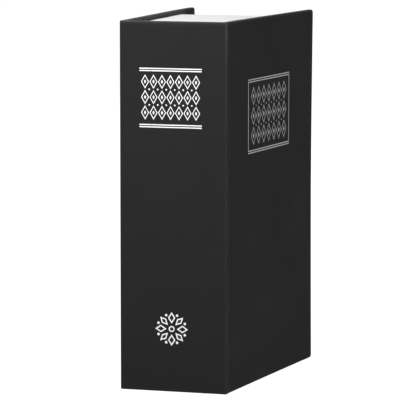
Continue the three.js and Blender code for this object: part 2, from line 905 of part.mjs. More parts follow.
function buildBackCase() {
  const backCase = new THREE.Group();
  const backStart = turnInInner + glueLine;
  backCase.add(piece('back_covering', boardCovering(backFace, 1, backStart, caseWidth), coveringPaper));
  backCase.add(piece('back_board', coverBoard(backFace, 1, jointWidth, caseWidth), greyBoard));
  backCase.add(piece('back_pastedown', pastedown(backFace, 1, pageSpine, caseWidth), endpaper));
  backCase.add(piece('spine_covering', spineCovering(), coveringPaper));
  backCase.add(piece('spine_board', spineBoard(), greyBoard));
  backCase.add(piece('spine_lining', spineLining(), endpaper));
  backCase.add(piece('page_frame', pageFrame(), pagePlastic));
  return backCase;
}

function buildFrontCover() {
  const cover = new THREE.Group();
  const reach = caseWidth - jointWidth;
  cover.position.set(0, jointWidth, 0);
  cover.rotation.z = -THREE.MathUtils.degToRad(ajarDegrees);
  cover.add(piece('front_covering', boardCovering(0, -1, creaseGap, reach), coveringPaper));
  cover.add(piece('front_board', coverBoard(0, -1, creaseGap, reach), greyBoard));
  cover.add(piece('front_pastedown', pastedown(0, -1, creaseGap, reach), endpaper));
  return cover;
}

function buildFrontJoint() {
  const joint = new THREE.Group();
  joint.position.set(frontFace, 0, 0);
  joint.add(piece('front_joint_covering', jointCovering(), coveringPaper));
  joint.add(piece('front_joint_lining', jointLining(), jointCloth));
  joint.add(buildFrontCover());
  return joint;
}

// The origin is the middle of the spine's foot
const book = new THREE.Group();
book.position.set(0, -turnInInner / 2, 0);
book.add(buildBackCase(), buildBox(), buildLid(), buildFrontJoint());

const safe = new THREE.Group();
safe.add(book);

export default safe;
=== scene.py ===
import bpy
import bmesh
import json
import math
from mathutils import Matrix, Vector


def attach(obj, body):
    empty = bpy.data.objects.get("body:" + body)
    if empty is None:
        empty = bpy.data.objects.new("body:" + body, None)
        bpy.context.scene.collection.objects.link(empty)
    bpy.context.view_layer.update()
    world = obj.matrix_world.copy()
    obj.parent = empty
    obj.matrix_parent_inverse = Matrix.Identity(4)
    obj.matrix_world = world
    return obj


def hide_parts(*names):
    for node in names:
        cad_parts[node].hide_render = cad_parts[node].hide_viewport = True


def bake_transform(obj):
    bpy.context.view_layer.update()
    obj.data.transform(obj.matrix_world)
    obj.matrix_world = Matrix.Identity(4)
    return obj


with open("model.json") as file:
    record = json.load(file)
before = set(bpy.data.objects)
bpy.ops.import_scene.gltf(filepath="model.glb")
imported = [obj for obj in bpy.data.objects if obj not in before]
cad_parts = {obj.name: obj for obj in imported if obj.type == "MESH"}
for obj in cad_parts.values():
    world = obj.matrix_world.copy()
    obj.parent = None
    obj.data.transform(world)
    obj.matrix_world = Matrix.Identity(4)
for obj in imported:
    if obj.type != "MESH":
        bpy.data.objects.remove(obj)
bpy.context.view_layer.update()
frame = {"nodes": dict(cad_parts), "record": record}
print("frame loaded with", len(frame["nodes"]), "nodes")

mm = 0.001                      # all sizes below are in mm unless a note says otherwise
axisX, axisY, axisZ = 0, 1, 2

# camera

cameraSettings = {
    "azimuth": 16.54,
    "elevation": 7.0,
    "distance": 1.51,           # metres
    "lens": 271.62,
    "sensor": 36,
    "aim": (0, 56.15, 90),
    "shiftRight": -3.4,         # across the view
    "shiftUp": -2.84,
}


def wayTo(azimuth, elevation):      # from the book towards the camera or a lamp
    turn = math.radians(azimuth)
    rise = math.radians(elevation)
    return Vector((math.sin(turn) * math.cos(rise), -math.cos(turn) * math.cos(rise), math.sin(rise)))


def addCamera():
    s = cameraSettings
    back = wayTo(s["azimuth"], s["elevation"])
    right = wayTo(s["azimuth"] + 90, 0)
    up = back.cross(right)
    aim = Vector(s["aim"]) * mm
    aim += right * s["shiftRight"] * mm + up * s["shiftUp"] * mm
    bpy.ops.object.camera_add(location=aim + back * s["distance"])
    camera = bpy.context.object
    camera.rotation_mode = "QUATERNION"
    camera.rotation_quaternion = (-back).to_track_quat("-Z", "Y")
    camera.data.sensor_width = s["sensor"]
    camera.data.lens = s["lens"]
    bpy.context.scene.camera = camera


addCamera()
print("camera placed")

# shared modelling steps

workSettings = {
    "near": 0.02,               # places closer than this are one
    "hair": 0.01,               # to stay clear of a cut
    "slack": 0.05,
    "facing": 0.9,              # how squarely a face looks along an axis
    "leaning": 0.05,            # the least turn inward of a face of the joint's inner skin
    "outward": 0.1,             # the same for its outer skin
    "along": 0.98,              # how straight an edge runs along an axis
    "sharp": 0.9,               # radians between the faces of a corner
    "smoothBelow": 35,          # degrees
}


def deselectAll():
    if bpy.context.object and bpy.context.object.mode != "OBJECT":
        bpy.ops.object.mode_set(mode="OBJECT")
    bpy.ops.object.select_all(action="DESELECT")


def takeUp(piece):              # selects it alone
    deselectAll()
    bpy.context.view_layer.objects.active = piece
    piece.select_set(True)


def placed(piece):
    bpy.ops.object.transform_apply(location=True, rotation=True, scale=True)
    return piece


def addBlock(name, low, high):
    deselectAll()
    spot = [(a + b) / 2 * mm for a, b in zip(low, high)]
    size = [(b - a) * mm for a, b in zip(low, high)]
    bpy.ops.mesh.primitive_cube_add(size=1, location=spot, scale=size)
    piece = bpy.context.object
    piece.name = name
    return placed(piece)


def editOff():
    bpy.ops.object.mode_set(mode="OBJECT")


def pick(piece, kind, test):    # leaves the piece in edit mode, with what passes the test selected
    takeUp(piece)
    bpy.ops.object.mode_set(mode="EDIT")
    bpy.ops.mesh.select_mode(type=kind)
    bpy.ops.mesh.select_all(action="DESELECT")
    cage = bmesh.from_edit_mesh(piece.data)
    cage.normal_update()
    parts = {"VERT": cage.verts, "EDGE": cage.edges, "FACE": cage.faces}[kind]
    for part in [part for part in parts if test(part)]:
        part.select_set(True)
    cage.select_flush_mode()
    bmesh.update_edit_mesh(piece.data)


def everything(part):
    return True


def middle(edge):
    return (edge.verts[0].co + edge.verts[1].co) / 2 / mm


def centre(face):
    return face.calc_center_median() / mm


def along(edge, axis):
    line = edge.verts[1].co - edge.verts[0].co
    return abs(line[axis]) > workSettings["along"] * line.length


def near(a, b):
    return abs(a - b) < workSettings["near"]


def looks(face, axis, way):     # way is 1 or -1
    return face.normal[axis] * way > workSettings["facing"]


def isSharp(edge):
    return edge.calc_face_angle(0) > workSettings["sharp"]


def roundPicked(offset, steps):
    bpy.ops.mesh.bevel(offset=offset * mm, segments=steps, profile=0.5, affect="EDGES")
    editOff()


def deletePicked(kind):
    bpy.ops.mesh.delete(type=kind)
    editOff()


def extrudePicked(x=0, y=0):
    bpy.ops.mesh.extrude_region_move(TRANSFORM_OT_translate={"value": (x * mm, y * mm, 0)})
    editOff()


def cutAcross(piece, axis, places, test=everything):
    direction = [0, 0, 0]
    direction[axis] = 1
    for place in places:
        pick(piece, "FACE", test)
        point = [0, 0, 0]
        point[axis] = place * mm
        bpy.ops.mesh.bisect(plane_co=point, plane_no=direction)
        editOff()


def applyModifier(piece, kind, **values):
    takeUp(piece)
    modifier = piece.modifiers.new(kind.lower(), kind)
    for key, value in values.items():
        setattr(modifier, key, value)
    bpy.ops.object.modifier_apply(modifier=modifier.name)


def thicken(piece, thickness):      # inwards from the sheet's outer face
    applyModifier(piece, "SOLIDIFY", thickness=thickness * mm, offset=-1, use_even_offset=True)


def smoothByAngle(piece, degrees=workSettings["smoothBelow"]):
    takeUp(piece)
    bpy.ops.object.shade_smooth_by_angle(angle=math.radians(degrees))
    applyModifier(piece, "WEIGHTED_NORMAL", keep_sharp=True)
    return piece


def joined(pieces, name):
    takeUp(pieces[0])
    for piece in pieces:
        piece.select_set(True)
    bpy.ops.object.join()
    pieces[0].name = name
    return pieces[0]


# case covering: one sheet over the back board and round the spine

caseSettings = {
    "backOut": -27.0,
    "backIn": -24.3,
    "spineOut": -1.35,
    "spineIn": 1.35,
    "spineEnd": 26.2,
    "foreEdge": 113.65,
    "height": 180.0,
    "turnIn": 14.0,
    "paper": 0.3,
    "spineRound": 0.85,
    "spineSteps": 7,
    "cornerRound": 1.9,
    "cornerSteps": 8,
    "rimRound": 0.5,
    "rimSteps": 4,
    "gridStep": 9.0,            # cuts that let a sheet or board bend
    "gridEnd": 2.0,             # none closer than this to the far edge
    "boardLow": (-26.6, 2.65, 0.4),
    "boardHigh": (-24.7, 113.25, 179.6),
    "boardRound": 1.5,
    "boardSteps": 6,
    "warpHead": 1.0,            # how far the back board's corners at the fore-edge bend in
    "warpFoot": 0.7,
    "warpReach": 80.0,
    "warpPower": 1.5,
}
turnInFoot = caseSettings["turnIn"]
turnInHead = caseSettings["height"] - caseSettings["turnIn"]


def betweenTurnIns(spot, margin=0.0):
    return turnInFoot + margin < spot.z < turnInHead - margin


def atEnds(spot):               # at the foot or the head
    return near(spot.z, 0) or near(spot.z, caseSettings["height"])


def atForeCorners(spot):        # on the fore-edge or its rounded corners
    return spot.y > caseSettings["foreEdge"] - caseSettings["cornerRound"] - workSettings["slack"]


def gridCuts(piece, low, high, test=everything):
    step = caseSettings["gridStep"]
    for axis in (axisY, axisZ):
        count = int((high[axis] - low[axis] - caseSettings["gridEnd"]) / step)
        cutAcross(piece, axis, [low[axis] + step * i for i in range(1, count + 1)], test)


def warped(piece, s):           # boards bend most at their corners
    half = caseSettings["height"] / 2
    for vertex in piece.data.vertices:
        y, z = vertex.co.y / mm, vertex.co.z / mm
        out = max(0, y - s["warpReach"]) / (caseSettings["foreEdge"] - s["warpReach"])
        amount = s["warpHead"] if z > half else s["warpFoot"]
        vertex.co.x += amount * (abs(z - half) / half * out) ** caseSettings["warpPower"] * mm
    return piece


def isCaseRim(edge):
    s = caseSettings
    if len(edge.link_faces) != 2 or not isSharp(edge):
        return False
    spot = middle(edge)
    onEnd = atEnds(spot) and not near(spot.x, s["spineEnd"])
    return onEnd or (atForeCorners(spot) and (near(spot.x, s["backOut"]) or near(spot.x, s["backIn"])))


def buildCase():
    s = caseSettings
    fore = s["foreEdge"] - s["turnIn"]
    low = (s["backOut"], s["spineOut"], 0)
    case = addBlock("case_covering", low, (s["backIn"], s["foreEdge"], s["height"]))
    cutAcross(case, axisY, [s["spineIn"]])
    pick(case, "FACE", lambda f: looks(f, axisX, 1) and centre(f).y < s["spineIn"])
    extrudePicked(x=s["spineEnd"] - s["backIn"])
    pick(case, "EDGE", lambda e: along(e, axisZ) and near(middle(e).x, s["backOut"])
         and near(middle(e).y, s["spineOut"]))
    roundPicked(s["spineRound"], s["spineSteps"])
    pick(case, "EDGE", lambda e: along(e, axisX) and near(middle(e).y, s["foreEdge"]))
    roundPicked(s["cornerRound"], s["cornerSteps"])
    pick(case, "EDGE", isCaseRim)
    roundPicked(s["rimRound"], s["rimSteps"])
    # the turned-in margin stays, and the middle of the inside is left open to the boards
    onBack = lambda f: looks(f, axisX, 1) and near(centre(f).x, s["backIn"])
    onSpine = lambda f: looks(f, axisY, 1) and near(centre(f).y, s["spineIn"])
    inside = lambda f: onBack(f) or onSpine(f)
    cutAcross(case, axisZ, [turnInFoot, turnInHead], inside)
    cutAcross(case, axisY, [fore], onBack)
    pick(case, "FACE", lambda f: inside(f) and betweenTurnIns(centre(f)) and centre(f).y < fore)
    deletePicked("FACE")
    cutAcross(case, axisY, [s["warpReach"]])
    bending = lambda f: centre(f).y > s["warpReach"]
    gridCuts(case, (0, s["warpReach"], 0), (0, s["foreEdge"], s["height"]), bending)
    thicken(case, s["paper"])
    return smoothByAngle(warped(case, s))


def buildBoard(name, s):
    board = addBlock(name, s["boardLow"], s["boardHigh"])
    pick(board, "EDGE", lambda e: along(e, axisX) and near(middle(e).y, s["boardHigh"][axisY]))
    roundPicked(caseSettings["boardRound"], caseSettings["boardSteps"])
    gridCuts(board, s["boardLow"], s["boardHigh"])
    return warped(board, s)


caseCovering = buildCase()
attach(caseCovering, "case_and_box")
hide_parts("back_covering", "spine_covering")
backBoard = smoothByAngle(buildBoard("back_case_board", caseSettings))
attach(backBoard, "case_and_box")
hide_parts("back_board")
print("case covering built,", len(caseCovering.data.polygons), "faces")

# front joint: the sheet turns round the spine's corner and bends at the crease

jointSettings = {
    "start": 26.2,
    "face": 27.0,
    "sheet": 0.4,
    "turnedIn": 0.3,
    "corner": -1.35,
    "middle": 0.7,              # where the corner hands over to the flap
    "crease": 2.65,
    "reach": 1.0,
    "bends": 6,
    "bendSpan": 1.714,          # centres the bend on the crease
    "ajar": 6.36,               # degrees
    "cornerRound": 0.75,
    "cornerSteps": 10,
    "cornerCuts": (-0.3, 0.2),
    "rimRound": 0.5,
    "innerRound": 0.1,
    "rimSteps": 4,
}


def thinMiddle(piece, s, far):      # the turned-in ends keep their double paper
    hair, leaning = workSettings["hair"], workSettings["leaning"]
    cutAcross(piece, axisZ, [turnInFoot - s["turnedIn"], turnInFoot, turnInHead, turnInHead + s["turnedIn"]])
    pick(piece, "FACE", lambda f: (f.normal.x < -leaning or f.normal.y > leaning) and betweenTurnIns(centre(f))
         and centre(f).x > s["start"] + hair and centre(f).y < far - hair)
    bpy.ops.transform.shrink_fatten(value=-s["turnedIn"] * mm)
    editOff()


def onOuterSkin(edge):
    outward = workSettings["outward"]
    return any(face.normal.x > outward or face.normal.y < -outward for face in edge.link_faces)


def roundEnds(piece, amount, test):
    pick(piece, "EDGE", lambda e: atEnds(middle(e)) and isSharp(e) and test(e))
    roundPicked(amount, jointSettings["rimSteps"])


def buildJointCorner():
    s = jointSettings
    high = (s["face"], s["middle"], caseSettings["height"])
    corner = addBlock("joint_corner", (s["start"], s["corner"], 0), high)
    pick(corner, "FACE", lambda f: not looks(f, axisX, 1) and not looks(f, axisY, -1))
    deletePicked("ONLY_FACE")
    pick(corner, "EDGE", lambda e: not e.link_faces)
    deletePicked("EDGE")
    pick(corner, "EDGE", lambda e: len(e.link_faces) == 2)
    roundPicked(s["cornerRound"], s["cornerSteps"])
    thicken(corner, s["sheet"] + s["turnedIn"])
    thinMiddle(corner, s, s["middle"])
    cutAcross(corner, axisY, s["cornerCuts"])
    roundEnds(corner, s["rimRound"], onOuterSkin)
    return smoothByAngle(corner)


def turnAbout(degrees, pivot):
    spot = Vector(pivot) * mm
    bpy.ops.transform.rotate(value=math.radians(degrees), orient_axis="Z", center_override=spot)


def buildJointFlap():
    s = jointSettings
    far = s["crease"] + s["reach"]
    low = (s["face"] - s["sheet"] - s["turnedIn"], s["middle"], 0)
    flap = addBlock("joint_flap", low, (s["face"], far, caseSettings["height"]))
    thinMiddle(flap, s, far)
    bends = [far - s["bendSpan"] * (1 - step / s["bends"]) for step in range(s["bends"])]
    cutAcross(flap, axisY, bends)
    roundEnds(flap, s["rimRound"], lambda e: along(e, axisY) and onOuterSkin(e))
    roundEnds(flap, s["innerRound"], lambda e: along(e, axisY) and not onOuterSkin(e))
    for place in bends:
        pick(flap, "VERT", lambda v: v.co.y / mm > place + workSettings["hair"])
        turnAbout(s["ajar"] / s["bends"], (s["face"], place, 0))
        editOff()
    return smoothByAngle(flap)


jointCorner = buildJointCorner()
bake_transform(jointCorner)
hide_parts("front_joint_covering")
jointFlap = buildJointFlap()
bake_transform(jointFlap)
print("front joint built,", len(jointCorner.data.polygons) + len(jointFlap.data.polygons), "faces")

# front cover: board, covering and endpaper, made shut, given a slight warp and set ajar

coverSettings = {
    "outer": 27.0,
    "inner": 24.3,
    "start": 3.66,              # where the sheet of the joint hands over to the cover
    "rebate": 0.72,
    "rebateStart": 2.75,
    "foreEdge": 113.65,
    "boardLow": (24.7, 2.85, 0.4),
    "boardHigh": (26.6, 113.25, 179.6),
    "warpHead": 0.65,           # how far the corners at the fore-edge stand out
    "warpFoot": 0.45,
    "warpReach": 40.0,
    "pivot": (27.0, 2.65, 0),
}


def setAjar(piece):
    pick(piece, "VERT", everything)
    turnAbout(jointSettings["ajar"], coverSettings["pivot"])
    editOff()
    return piece


def isCoverRim(edge):
    s = coverSettings
    if len(edge.link_faces) != 2 or not isSharp(edge):
        return False
    spot = middle(edge)
    onFace = near(spot.x, s["outer"]) or near(spot.x, s["inner"])
    return onFace and (atForeCorners(spot) or (atEnds(spot) and along(edge, axisY)))


def buildCoverSheet():
    s = coverSettings
    c = caseSettings
    fore = s["foreEdge"] - c["turnIn"]
    low, high = (s["inner"], s["start"], 0), (s["outer"], s["foreEdge"], c["height"])
    cover = addBlock("cover_sheet", low, high)
    cutAcross(cover, axisX, [s["outer"] - s["rebate"]])
    pick(cover, "FACE", lambda f: looks(f, axisY, -1) and centre(f).x < s["outer"] - s["rebate"])
    extrudePicked(y=s["rebateStart"] - s["start"])
    pick(cover, "EDGE", lambda e: along(e, axisX) and near(middle(e).y, s["foreEdge"]))
    roundPicked(c["cornerRound"], c["cornerSteps"])
    pick(cover, "EDGE", isCoverRim)
    roundPicked(c["rimRound"], c["rimSteps"])
    onInner = lambda f: looks(f, axisX, -1) and near(centre(f).x, s["inner"])
    onEnd = lambda f: looks(f, axisY, -1) and near(centre(f).y, s["rebateStart"])
    inside = lambda f: onInner(f) or onEnd(f)
    cutAcross(cover, axisZ, [turnInFoot, turnInHead], inside)
    cutAcross(cover, axisY, [fore], onInner)
    pick(cover, "FACE", lambda f: inside(f) and betweenTurnIns(centre(f)) and centre(f).y < fore)
    deletePicked("FACE")
    gridCuts(cover, low, high)
    thicken(cover, c["paper"])
    return smoothByAngle(setAjar(warped(cover, s)))


coverSheet = buildCoverSheet()
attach(coverSheet, "front_cover")
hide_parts("front_covering")
coverBoard = smoothByAngle(setAjar(buildBoard("cover_board", coverSettings)))
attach(coverBoard, "front_cover")
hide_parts("front_board")
print("front cover built,", len(coverSheet.data.polygons), "faces")

# endpapers: pasted down over the turned-in margins, which show through as a low step

endpaperSettings = {
    "paper": 0.2,
    "glue": 0.02,
    "margin": 3.0,
    "stepDown": 0.3,
    "stepInside": 0.5,          # what lies this far inside the turned-in margins steps down
    "slope": 0.9,
    "smoothBelow": 60,          # degrees
    "cover": {"x": 24.3, "side": -1, "y": (2.95, 110.65)},
    "back": {"x": -24.3, "side": 1, "y": (1.85, 110.65)},
}


def buildEndpaper(name, place):
    s = endpaperSettings
    side = place["side"]
    yLow, yHigh = place["y"]
    zLow, zHigh = s["margin"], caseSettings["height"] - s["margin"]
    face = place["x"] + side * s["glue"]
    xs = sorted([face, face + side * s["paper"]])
    sheet = addBlock(name, (xs[0], yLow, zLow), (xs[1], yHigh, zHigh))
    fore = caseSettings["foreEdge"] - caseSettings["turnIn"]
    cutAcross(sheet, axisZ, [turnInFoot, turnInFoot + s["slope"], turnInHead - s["slope"], turnInHead])
    cutAcross(sheet, axisY, [fore - s["slope"], fore])
    pick(sheet, "VERT", lambda v: betweenTurnIns(v.co / mm, s["stepInside"])
         and v.co.y / mm < fore - s["stepInside"])
    bpy.ops.transform.translate(value=(-side * s["stepDown"] * mm, 0, 0))
    editOff()
    gridCuts(sheet, (0, yLow, zLow), (0, yHigh, zHigh))
    return sheet


coverEndpaper = setAjar(warped(buildEndpaper("cover_endpaper", endpaperSettings["cover"]), coverSettings))
smoothByAngle(coverEndpaper, endpaperSettings["smoothBelow"])
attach(coverEndpaper, "front_cover")
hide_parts("front_pastedown")
backEndpaper = warped(buildEndpaper("back_endpaper", endpaperSettings["back"]), caseSettings)
smoothByAngle(backEndpaper, endpaperSettings["smoothBelow"])
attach(backEndpaper, "case_and_box")
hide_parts("back_pastedown")
print("endpapers built")

# foil blocking: plain rules, and lozenges where the decoration stands

foilSettings = {
    "thickness": 0.03,
    "lozenge": (0.47, 0.46),    # half sizes as shares of a cell
    "core": (0.13, 0.14),
    "bead": 0.42,
    "beadCorners": 10,
    "spineRules": {"x": (-16.9, 14.4), "z": (157.53, 156.46, 130.38, 129.3), "line": 0.56},
    "spineCells": {"left": -16.2, "right": 13.7, "foot": 132.2, "head": 154.6, "across": 7, "rows": 3, "line": 0.4},
    "frame": {"r": (28.2, 82.6), "z": (114.1, 150.45), "line": 0.5, "gap": 1.05},
    "frameCells": {"left": 31.8, "right": 79.0, "foot": 117.6, "head": 146.9, "across": 7, "rows": 3, "line": 0.36},
}
rosetteSettings = {
    "x": -0.8,
    "z": 30.9,
    "petals": 8,
    "inner": 2.6,
    "outer": 8.3,
    "widths": (1.875, 1.5),     # of every other petal
    "dot": 0.66,
    "dotAt": 7.2,
    "dotCorners": 12,
    "ring": 1.5,
    "ringCorners": 32,
    "line": 0.6,
}


def addShape(corners, x, z, halfWide, halfHigh, turn=0.0, line=0.0):
    deselectAll()
    bpy.ops.mesh.primitive_circle_add(vertices=corners, radius=1, fill_type="NGON")
    shape = bpy.context.object
    shape.scale = (halfWide * mm, halfHigh * mm, 1)
    placed(shape)
    if line:
        pick(shape, "FACE", everything)
        bpy.ops.mesh.inset(thickness=line * mm)
        deletePicked("FACE")
    shape.rotation_euler = (math.pi / 2, math.radians(turn), 0)
    shape.location = (x * mm, 0, z * mm)
    return placed(shape)


def addBar(xLow, xHigh, zLow, zHigh):
    bar = addShape(4, 0, 0, 1, 1)
    takeUp(bar)
    bar.rotation_euler = (0, math.pi / 4, 0)
    placed(bar)
    side = math.sqrt(0.5)
    bar.scale = ((xHigh - xLow) / 2 / side, 1, (zHigh - zLow) / 2 / side)
    bar.location = ((xLow + xHigh) / 2 * mm, 0, (zLow + zHigh) / 2 * mm)
    return placed(bar)


def addCells(s):
    shapes = []
    bead = foilSettings["bead"]
    wide = (s["right"] - s["left"]) / s["across"]
    high = (s["head"] - s["foot"]) / s["rows"]
    for row in range(s["rows"]):
        for column in range(s["across"]):
            x = s["left"] + wide * (column + 0.5)
            z = s["foot"] + high * (row + 0.5)
            for share, line in ((foilSettings["lozenge"], s["line"]), (foilSettings["core"], 0)):
                shapes.append(addShape(4, x, z, wide * share[0], high * share[1], line=line))
            if column and row:
                x, z = s["left"] + wide * column, s["foot"] + high * row
                shapes.append(addShape(foilSettings["beadCorners"], x, z, bead, bead))
    return shapes


def addRosette():
    r = rosetteSettings
    shapes = []
    half = (r["outer"] - r["inner"]) / 2
    reach = (r["inner"] + r["outer"]) / 2
    for index in range(r["petals"]):
        turn = 360 / r["petals"] * index
        out = math.radians(turn)
        x, z = r["x"] + reach * math.sin(out), r["z"] + reach * math.cos(out)
        shapes.append(addShape(4, x, z, r["widths"][index % 2], half, turn, line=r["line"]))
        out = math.radians(turn + 180 / r["petals"])
        x, z = r["x"] + r["dotAt"] * math.sin(out), r["z"] + r["dotAt"] * math.cos(out)
        shapes.append(addShape(r["dotCorners"], x, z, r["dot"], r["dot"]))
    shapes.append(addShape(r["ringCorners"], r["x"], r["z"], r["ring"], r["ring"], line=r["line"]))
    return shapes


def raised(piece):
    pick(piece, "FACE", everything)
    extrudePicked(y=-foilSettings["thickness"])
    return piece


def laid(piece, x, y, turn=0.0):    # from the plane where it was drawn onto its cover
    takeUp(piece)
    piece.rotation_euler = (0, 0, turn)
    piece.location = (x * mm, y * mm, 0)
    return placed(piece)


def buildSpineFoil():
    rules = foilSettings["spineRules"]
    shapes = [addBar(*rules["x"], z - rules["line"], z) for z in rules["z"]]
    shapes += addCells(foilSettings["spineCells"]) + addRosette()
    return laid(raised(joined(shapes, "spine_foil")), 0, caseSettings["spineOut"])


def buildCoverFoil():
    f = foilSettings["frame"]
    line, gap = f["line"], f["gap"]
    left, right = f["r"]
    foot, head = f["z"]
    low, high = foot + gap + line, head - gap - line
    shapes = [addBar(left, right, z - line, z) for z in (head, head - gap, low, foot + line)]
    shapes += [addBar(x, x + line, low, high) for x in (left, right - line)]
    shapes += addCells(foilSettings["frameCells"])
    foil = laid(raised(joined(shapes, "cover_foil")), coverSettings["outer"], caseSettings["spineOut"], math.pi / 2)
    return setAjar(warped(foil, coverSettings))


spineFoil = buildSpineFoil()
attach(spineFoil, "case_and_box")
coverFoil = buildCoverFoil()
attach(coverFoil, "front_cover")
print("foil built,", len(spineFoil.data.polygons) + len(coverFoil.data.polygons), "faces")

# nodes: a value is a number, a colour or another node's socket


def feed(tree, socket, value):
    if isinstance(value, bpy.types.NodeSocket):
        tree.links.new(value, socket)
    else:
        socket.default_value = (*value, 1) if socket.type == "RGBA" else value


def fill(tree, node, **values):     # Size_mm stands for the input Size mm
    for key, value in values.items():
        feed(tree, node.inputs[key.replace("_", " ")], value)


def addNode(tree, kind, **values):
    node = tree.nodes.new(kind)
    for key, value in values.items():
        setattr(node, key, value)
    return node


def mathNode(tree, operation, *values):
    node = addNode(tree, "ShaderNodeMath", operation=operation)
    for socket, value in zip(node.inputs, values):
        feed(tree, socket, value)
    return node.outputs[0]


def vectorNode(tree, operation, *values):
    node = addNode(tree, "ShaderNodeVectorMath", operation=operation)
    for socket, value in zip(node.inputs, values):
        feed(tree, socket, value)
    return node.outputs["Value" if operation in ("LENGTH", "DOT_PRODUCT") else "Vector"]


def times(tree, first, second):
    return mathNode(tree, "MULTIPLY", first, second)


def rangeNode(tree, value, low, high, outLow=0.0, outHigh=1.0):
    node = addNode(tree, "ShaderNodeMapRange")
    fill(tree, node, Value=value, From_Min=low, From_Max=high, To_Min=outLow, To_Max=outHigh)
    return node.outputs[0]


def spread(tree, value, low, high):     # 0 to 1 becomes low to high
    return rangeNode(tree, value, 0, 1, low, high)


def noiseNode(tree, vector, scale, detail=3.0, rough=0.55):
    node = addNode(tree, "ShaderNodeTexNoise")
    fill(tree, node, Vector=vector, Scale=scale, Detail=detail, Roughness=rough)
    return node.outputs["Fac"]


def mixColour(tree, factor, first, second):
    node = addNode(tree, "ShaderNodeMix", data_type="RGBA")
    for index, value in ((0, factor), (6, first), (7, second)):     # the inputs for colours
        feed(tree, node.inputs[index], value)
    return node.outputs[2]


def objectPlace(tree):
    return addNode(tree, "ShaderNodeTexCoord").outputs["Object"]


def axesOf(tree, place):
    split = addNode(tree, "ShaderNodeSeparateXYZ")
    feed(tree, split.inputs[0], place)
    return split.outputs


def scaleFor(tree, size):           # a pattern's scale for a size in mm
    return mathNode(tree, "DIVIDE", 1 / mm, size)


def roundedNormal(tree, radius):    # radius in metres
    bevel = addNode(tree, "ShaderNodeBevel", samples=6)
    feed(tree, bevel.inputs["Radius"], radius)
    return bevel.outputs["Normal"]


# node groups shared by the finishes

grainSettings = {"fineScale": 2.3, "fine": 0.45, "cells": 0.9, "patchDetail": 4.0, "patchRange": (0.3, 0.7)}
rubSettings = {"edge": (0.995, 0.80), "detail": 5.0, "rough": 0.6, "broken": (0.42, 0.62)}
# a painted highlight: lighter paper along the head and down the corner where the spine meets the front
headCornerHighlightSettings = {
    "headPower": 3.0,           # how fast the painted highlight fades below the head
    "cornerFull": 0.6,
    "cornerFade": (5.0, 24.0, 1.0, 0.3),    # from and to so far below the head, and the painted highlight there
    "patchScale": 450.0,
    "patchRange": (0.3, 0.6, 0.6, 1.0),
}
brushSettings = {"detail": 2.0, "slowScale": 240.0, "slowRange": (0.3, 0.7)}
pageLineSettings = {
    "flat": (1, 0.012, 0.012),  # a leaf runs on along Y and Z
    "detail": 2.0,
    "rough": 0.7,
    "broadScale": 0.22,
    "broadDetail": 1.0,
    "broad": 0.6,
    "toneRange": (0.25, 0.75),
}


def newGroup(name, inputs, outputs):
    tree = bpy.data.node_groups.new(name, "ShaderNodeTree")
    for label, value in inputs.items():
        kind = "NodeSocketVector" if isinstance(value, tuple) else "NodeSocketFloat"
        socket = tree.interface.new_socket(name=label, in_out="INPUT", socket_type=kind)
        socket.default_value = value
    for label in outputs:
        tree.interface.new_socket(name=label, in_out="OUTPUT", socket_type="NodeSocketFloat")
    return tree, tree.nodes.new("NodeGroupInput").outputs, tree.nodes.new("NodeGroupOutput").inputs


def buildGrainGroup():      # fine pebbled grain, with slow patches of tone
    s = grainSettings
    tree, given, out = newGroup("fineGrain", {"Size mm": 0.4, "Patch mm": 30.0}, ["Height", "Patch"])
    place = objectPlace(tree)
    scale = scaleFor(tree, given["Size mm"])
    cells = addNode(tree, "ShaderNodeTexVoronoi", feature="SMOOTH_F1")
    fill(tree, cells, Vector=place, Scale=scale)
    fine = noiseNode(tree, place, times(tree, scale, s["fineScale"]))
    pebbles = times(tree, cells.outputs["Distance"], s["cells"])
    feed(tree, out["Height"], mathNode(tree, "MULTIPLY_ADD", fine, s["fine"], pebbles))
    patch = noiseNode(tree, place, scaleFor(tree, given["Patch mm"]), s["patchDetail"])
    feed(tree, out["Patch"], rangeNode(tree, patch, *s["patchRange"]))
    return tree


def buildRubGroup():        # where an edge is rubbed
    s = rubSettings
    tree, given, out = newGroup("edgeRub", {"Reach mm": 0.5, "Break mm": 2.0}, ["Mask"])
    rounded = roundedNormal(tree, times(tree, given["Reach mm"], mm))
    surface = addNode(tree, "ShaderNodeNewGeometry").outputs["True Normal"]
    edge = rangeNode(tree, vectorNode(tree, "DOT_PRODUCT", rounded, surface), *s["edge"])
    broken = noiseNode(tree, objectPlace(tree), scaleFor(tree, given["Break mm"]), s["detail"], s["rough"])
    feed(tree, out["Mask"], times(tree, edge, rangeNode(tree, broken, *s["broken"])))
    return tree


